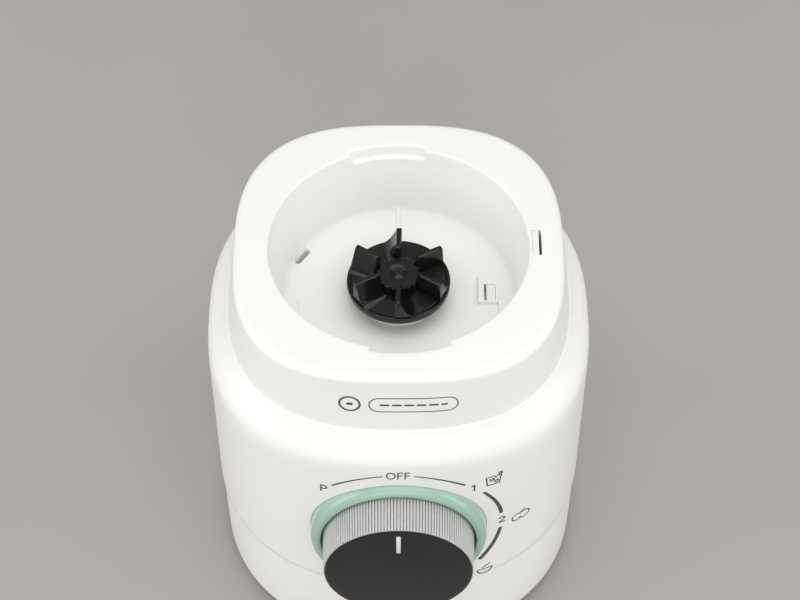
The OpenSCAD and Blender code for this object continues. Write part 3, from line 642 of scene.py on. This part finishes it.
back = FACE_OUT + 0.02
cap_profile = [(0, back), (CORE_R, back), (FACE_R - 0.1, back), (FACE_R, FACE_OUT + 0.12)]
cap_profile += [(FACE_R - 0.12, face_height(FACE_R) - 0.06), (FACE_R - 0.4, face_height(FACE_R - 0.4))]
cap_profile += [(r, face_height(r)) for r in (30.5, 28, 24, 20, 16, 12, 8, 4, 0)]
cap = revolve("knob_cap", cap_profile, RIBS * 6, ripple=ribbed, place=on_knob)
slot_cut = rounded_box("cutter", -1.0, 1.0, -BODY_HALF - 24, -BODY_HALF - 18.6,
                       KNOB_Z + 16, KNOB_Z + 29, r=0.3)
fix_mesh(cap)
fix_mesh(slot_cut)
boolean(cap, slot_cut)
settle(cap, BLACK_GLOSS, "knob", ["knob_face"], angle=40)
# painted shade: a thin dark ring on the white core for the dark line that shows through the clear skirt
band_profile = [(CORE_R - 0.3, 3.2), (CORE_R + 0.08, 3.2), (CORE_R + 0.1, 3.45), (CORE_R + 0.08, 3.7),
                (CORE_R - 0.3, 3.7)]
band = revolve("knob_shade_line", band_profile, 180, place=on_knob)
settle(band, DARK, "knob")

# drive coupling: a lipped disc, a toothed hub and six fins
RAMP = 7.5                      # length of a fin's ramp at the rim
RAMP_CURVE = 2.3                # how hollow the ramps are
FINS = 6
TEETH = 17
TOOTH_H = 1.3
disc_profile = [(0, -2.9), (20, -2.95), (22.2, -3)] + quarter(22.4, -2.4, 0.6, 0.6, -90, 0, 4)
disc_profile += quarter(22.5, -0.5, 0.5, 0.5, 0, 90, 4) + [(21.9, 0)]
disc_profile += [(21.75, -0.1), (21.6, -0.5), (21.1, -0.55), (20.9, -0.15)]
disc_profile += [(20.7, 0), (15, 0.05), (0, 0.05)]
disc = revolve("disc", [(r, h + DISC_Z) for r, h in disc_profile], 192)
hub_profile = [(0, -0.5), (10, -0.5), (10, 4.1), (9.9, 4.45), (9.6, 4.6), (6, 4.62), (3.9, 4.6), (3.5, 4.5)]
hub_profile += [(3.2, 4.2), (3.0, 3.8), (2.6, 3.7), (2.2, 3.9), (1.5, 4.25), (0.8, 4.4), (0, 4.42)]


def toothed(ang, r):
    """Saw teeth round the hub's outside."""
    if r < 9:
        return r
    u = (ang * TEETH / (2 * math.pi)) % 1
    return r - TOOTH_H * (u / 0.7 if u < 0.7 else (1 - u) / 0.3)


hub = revolve("hub", [(r, h + DISC_Z) for r, h in hub_profile], TEETH * 10, ripple=toothed)
stem_profile = [(0, SEAT_Z + 3.4), (7.1, SEAT_Z + 3.4), (7.5, SEAT_Z + 3.8), (7.5, DISC_Z - 3.4),
                (8.3, DISC_Z - 2.6), (0, DISC_Z - 2.6)]
stem = revolve("stem", stem_profile, 96)


def fin_section(r, height, inset=0.0, flare=0.0):
    """Outline across a fin near radius r: face, flat crest and hollow ramp. Its foot leans out by flare."""
    out = (r - 10.2) / 10.8
    face = lerp(-0.95, -1.5, out) + inset
    back = lerp(1.15, 0.85, out) - inset
    length = RAMP * lerp(0.62, 1, out)
    c = 0.3                     # rounding of the crest's edges
    pts = [(face - 0.1, -0.6), (face - 0.06, 0), (face, height - c), (face + 0.3 * c, height - 0.3 * c)]
    pts += [(face + c, height), (back - c, height), (back - 0.3 * c, height - 0.25 * c)]
    for i in range(1, 15):
        u = i / 14
        pts.append((back + length * u, (height - 0.6 * c) * (1 - u) ** RAMP_CURVE + 0.12 * u))
    pts += [(back + length + 0.3, -0.1), (back + length, -0.6)]
    ring = []
    for t, z in pts:
        reach = r + flare * (1 - max(z, 0) / height) ** 1.2
        ring.append((math.sqrt(reach**2 - t**2), t, z))
    return ring


# rows of radius, height, inset and flare along a fin
stations = [(9.9, FIN_H - 0.35, 0.2, 0), (10.05, FIN_H - 0.1, 0.06, 0), (10.3, FIN_H, 0, 0)]
stations += [(r, FIN_H, 0, 0) for r in (12, 14, 16, 18, 20)]
stations += [(21.4, FIN_H, 0, 0.5), (21.7, FIN_H - 0.08, 0.05, 0.55), (21.85, FIN_H - 0.35, 0.2, 0.55)]
fins = []
for k in range(FINS):
    ang = math.radians(90 + k * 360 / FINS)
    c, s = math.cos(ang), math.sin(ang)
    rings = [[(x * c - t * s, x * s + t * c, DISC_Z + z) for x, t, z in fin_section(*station)]
             for station in stations]
    fins.append(loft("fin", rings, closed_loop=False))
coupling = join("coupling", [disc, hub, stem] + fins)
settle(coupling, BLACK_MOULD, "rotor", ["drive_coupling"], angle=28)


# ---------------------------------------------------------------- interlock springs
# each spring gets a mesh of its own; the real spring shortens with the pin that presses on it
for pin in ("seat", "rim"):
    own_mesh(NODES[f"{pin}_spring"])


# ---------------------------------------------------------------- printed markings
INK_LIFT, INK_SUNK = 0.06, -0.12        # top and underside of the ink, from the wall


def front_wall(u, v):
    """Depth of the housing's front at width u and height v."""
    a, n = spline(UPPER_WALL, v)
    return -a * (1 - (abs(u) / a) ** n) ** (1 / n)


def collar_wall(u, v):
    """Depth of the collar's front at width u and height v."""
    a, b, n = spline(COLLAR_WALL, v)
    return -b * (1 - (abs(u) / a) ** n) ** (1 / n)


def on_wall(wall, u, v, lift):
    """Point over the wall at (u, v), lifted along its normal."""
    e = 0.4
    dx = (wall(u + e, v) - wall(u - e, v)) / (2 * e)
    dz = (wall(u, v + e) - wall(u, v - e)) / (2 * e)
    n = Vector((dx, -1, dz)).normalized()
    return (u + n.x * lift, wall(u, v) + n.y * lift, v + n.z * lift)


def stroke(wall, points, width, step=0.6, closed=False):
    """A closed ribbon that follows the wall along points (u, v), with round ends; width may be a list."""
    widths = width if isinstance(width, (list, tuple)) else [width] * len(points)
    path = []
    pairs = list(zip(points, widths))
    if closed:
        pairs.append(pairs[0])
    for (p, w), (q, x) in zip(pairs, pairs[1:]):
        n = max(1, round(math.dist(p, q) / step))
        path += [(lerp(p[0], q[0], i / n), lerp(p[1], q[1], i / n), lerp(w, x, i / n)) for i in range(n)]
    if not closed:
        path.append((*points[-1], widths[-1]))
        out = []
        for end, inner in ((path[0], path[1]), (path[-1], path[-2])):
            d = Vector((end[0] - inner[0], end[1] - inner[1])).normalized()
            caps = []
            for t in (0.92, 0.7, 0.38):
                reach = end[2] / 2 * t
                caps.append((end[0] + d.x * reach, end[1] + d.y * reach, end[2] * math.sqrt(1 - t * t)))
            out.append(caps)
        path = out[0] + path + out[1][::-1]
    verts, faces = [], []
    count = len(path)
    for i, (u, v, w) in enumerate(path):
        p = path[i - 1 if i or closed else 0]
        q = path[(i + 1) % count if closed else min(i + 1, count - 1)]
        d = Vector((q[0] - p[0], q[1] - p[1])).normalized()
        for side, lift in ((1, INK_LIFT), (-1, INK_LIFT), (-1, INK_SUNK), (1, INK_SUNK)):
            verts.append(on_wall(wall, u - d.y * side * w / 2, v + d.x * side * w / 2, lift))
    for i in range(count if closed else count - 1):
        k = (i + 1) % count
        for j in range(4):
            m = (j + 1) % 4
            faces.append((i * 4 + j, i * 4 + m, k * 4 + m, k * 4 + j))
    if not closed:
        faces += [(3, 2, 1, 0), tuple((count - 1) * 4 + j for j in range(4))]
    return mesh_object("stroke", verts, faces)


def arc(cx, cy, rx, a0, a1, ry=None, steps=24):
    """Points of an arc; angles in degrees from the right, anticlockwise."""
    ry = rx if ry is None else ry
    return [(cx + rx * math.cos(math.radians(lerp(a0, a1, i / steps))),
             cy + ry * math.sin(math.radians(lerp(a0, a1, i / steps)))) for i in range(steps + 1)]


GLYPHS = {
    "O": [arc(0, 0, 0.52, 0, 360, 0.5, 40)],
    "F": [[(-0.25, -0.5), (-0.25, 0.5), (0.3, 0.5)], [(-0.25, 0.03), (0.22, 0.03)]],
    "P": [[(-0.25, -0.5), (-0.25, 0.5), (0.05, 0.5)] + arc(0.05, 0.23, 0.27, 90, -90, steps=14)
          + [(-0.25, -0.04)]],
    "1": [[(-0.17, 0.3), (0.08, 0.5), (0.08, -0.5)]],
    "2": [arc(0, 0.22, 0.28, 160, -30, steps=16) + [(-0.28, -0.5), (0.32, -0.5)]],
    "3": [arc(0, 0.24, 0.26, 150, -80, steps=16) + [(0.0, -0.02)],
          arc(0, -0.23, 0.29, 85, -150, ry=0.27, steps=16)],
}
SCALE_R = 46.2
LABEL_H = 4.3
FINE_STEP = 0.35
PICTURE_LINE = 0.62


def glyph(char, cx, cy, width, stretch=1.0):
    """A label's strokes on the housing, centred at (cx, cy)."""
    out = []
    for path in GLYPHS[char]:
        pts = [(cx + x * LABEL_H * stretch, cy + y * LABEL_H) for x, y in path]
        out.append(stroke(front_wall, pts, width, step=FINE_STEP))
    return out


def dial(ang, r=SCALE_R):
    """Wall point at an angle clockwise from the top of the knob."""
    return (r * math.sin(math.radians(ang)), KNOB_Z + r * math.cos(math.radians(ang)))


def dial_arc(a0, a1, w0, w1):
    """A printed arc of the scale that widens from w0 to w1."""
    steps = 30
    pts = [dial(lerp(a0, a1, i / steps)) for i in range(steps + 1)]
    return stroke(front_wall, pts, [lerp(w0, w1, i / steps) for i in range(steps + 1)])


marks = [dial_arc(-38.4, -8.6, 0.95, 0.55), dial_arc(8.8, 38.3, 0.6, 1.05), dial_arc(54.4, 82, 1.3, 1.75),
         dial_arc(98.5, 126, 1.8, 2.3)]
off_x, off_z = dial(0)
for char, dx in (("O", -3.3), ("F", 0.65), ("F", 3.75)):
    marks += glyph(char, off_x + dx, off_z, 0.62, stretch=0.82)
for char, ang in (("P", -45), ("1", 45), ("2", 90), ("3", 135)):
    marks += glyph(char, *dial(ang), 0.72)


def picture(ang, r, paths, size):
    """A pictogram beside the scale, from paths in a unit square."""
    cx, cz = dial(ang, r)
    placed = [[(cx + x * size, cz + y * size) for x, y in path] for path in paths]
    return [stroke(front_wall, points, PICTURE_LINE, step=FINE_STEP) for points in placed]


glass = [[(-0.42, 0.3), (-0.34, -0.45), (0.3, -0.45), (0.38, 0.3)],
         [(-0.42, 0.3), (0.05, 0.3)], [(0.2, 0.3), (0.38, 0.3)],
         [(-0.22, 0.05), (-0.05, 0.12), (0.02, -0.05), (-0.15, -0.12), (-0.22, 0.05)],
         [(0.08, -0.12), (0.22, -0.08), (0.2, -0.26), (0.06, -0.28), (0.08, -0.12)],
         [(0.05, 0.12), (0.42, 0.55)],
         [(0.22, 0.55), (0.42, 0.55), (0.42, 0.36)]]
fruit = [arc(-0.2, -0.05, 0.26, 60, 330, ry=0.3) + arc(0.22, -0.08, 0.28, 200, 480, ry=0.3),
         [(-0.02, 0.16), (0.06, 0.34), (0.24, 0.4)]]
bowl = [arc(0, 0.1, 0.45, 180, 360, ry=0.5) + [(-0.45, 0.1)], [(-0.12, 0.3), (0.3, 0.55)]]
marks += picture(49.5, 54.6, glass, 8.2)
marks += picture(94, 55.0, fruit, 8.2)
marks += picture(134, 55.0, bowl, 7.5)
scale = join("scale_print", marks)
settle(scale, INK, "base", angle=50)

# a plain ornament on the collar: a ring with a dot beside a closed rounded outline that holds dashes
PRINT_Z = TOP - 16.3
plain = [stroke(collar_wall, arc(-20.6, PRINT_Z, 4.3, 0, 360, steps=48)[:-1], 0.9, step=0.5, closed=True),
         stroke(collar_wall, [(-21.3, PRINT_Z), (-19.9, PRINT_Z)], 1.5, step=0.4)]
outline = arc(20.9, PRINT_Z, 4.2, 90, -90, steps=20) + arc(-8.2, PRINT_Z, 4.2, 270, 90, steps=20)
plain.append(stroke(collar_wall, outline, 0.5, step=0.5, closed=True))
for x0, x1 in ((-7.5, -4.3), (-2.3, 0.9), (2.9, 6.1), (8.1, 11.3), (13.3, 16.5), (18.5, 20.3)):
    plain.append(stroke(collar_wall, [(x0, PRINT_Z), (x1, PRINT_Z)], 1.0, step=0.5))
ornament = join("collar_print", plain)
settle(ornament, INK, "base", angle=50)

# ---------------------------------------------------------------- camera, lights and floor
floor_mat = material("floor_paint", (0.42, 0.395, 0.372), rough=0.6, mottle=0.015, mottle_mm=120,
                     grain=0.1, grain_mm=1.5)
bpy.ops.mesh.primitive_plane_add(size=6, location=(0, 0.6, 0))
floor = bpy.context.object
floor.name = "floor"
floor.data.materials.append(floor_mat)

camera = bpy.data.objects.new("camera", bpy.data.cameras.new("camera"))
camera.location = (0.00065, -0.6152, 0.9167)
camera.rotation_euler = (math.radians(39.25), 0, 0)
camera.data.lens = 99
camera.data.sensor_width = 36
camera.data.clip_start = 0.02
bpy.context.scene.collection.objects.link(camera)
bpy.context.scene.camera = camera


LAMPS_AT = (0, 0, 0.1)


def area_light(name, where, size, power):
    """A white rectangular lamp, in metres and watts, that points at the object."""
    light = bpy.data.lights.new(name, "AREA")
    light.shape = "RECTANGLE"
    light.size, light.size_y = size
    light.energy = power
    ob = bpy.data.objects.new(name, light)
    ob.location = where
    ob.rotation_euler = (Vector(LAMPS_AT) - Vector(where)).to_track_quat("-Z", "Y").to_euler()
    bpy.context.scene.collection.objects.link(ob)


area_light("top", (0.1, -0.1, 1.9), (2.0, 2.0), 17)
area_light("left", (-1.6, -0.3, 0.7), (1.2, 1.2), 11)
area_light("right", (1.6, -0.3, 0.7), (1.2, 1.2), 9)
area_light("front", (0.2, -1.5, 0.9), (1.6, 1.2), 6.0)
area_light("low", (-0.3, -1.7, 0.35), (1.6, 0.6), 4)
world = bpy.data.worlds.new("studio")
world.use_nodes = True
world.node_tree.nodes["Background"].inputs["Color"].default_value = (1, 1, 1, 1)
world.node_tree.nodes["Background"].inputs["Strength"].default_value = 0.39
bpy.context.scene.world = world
bpy.context.scene.view_settings.view_transform = "Standard"
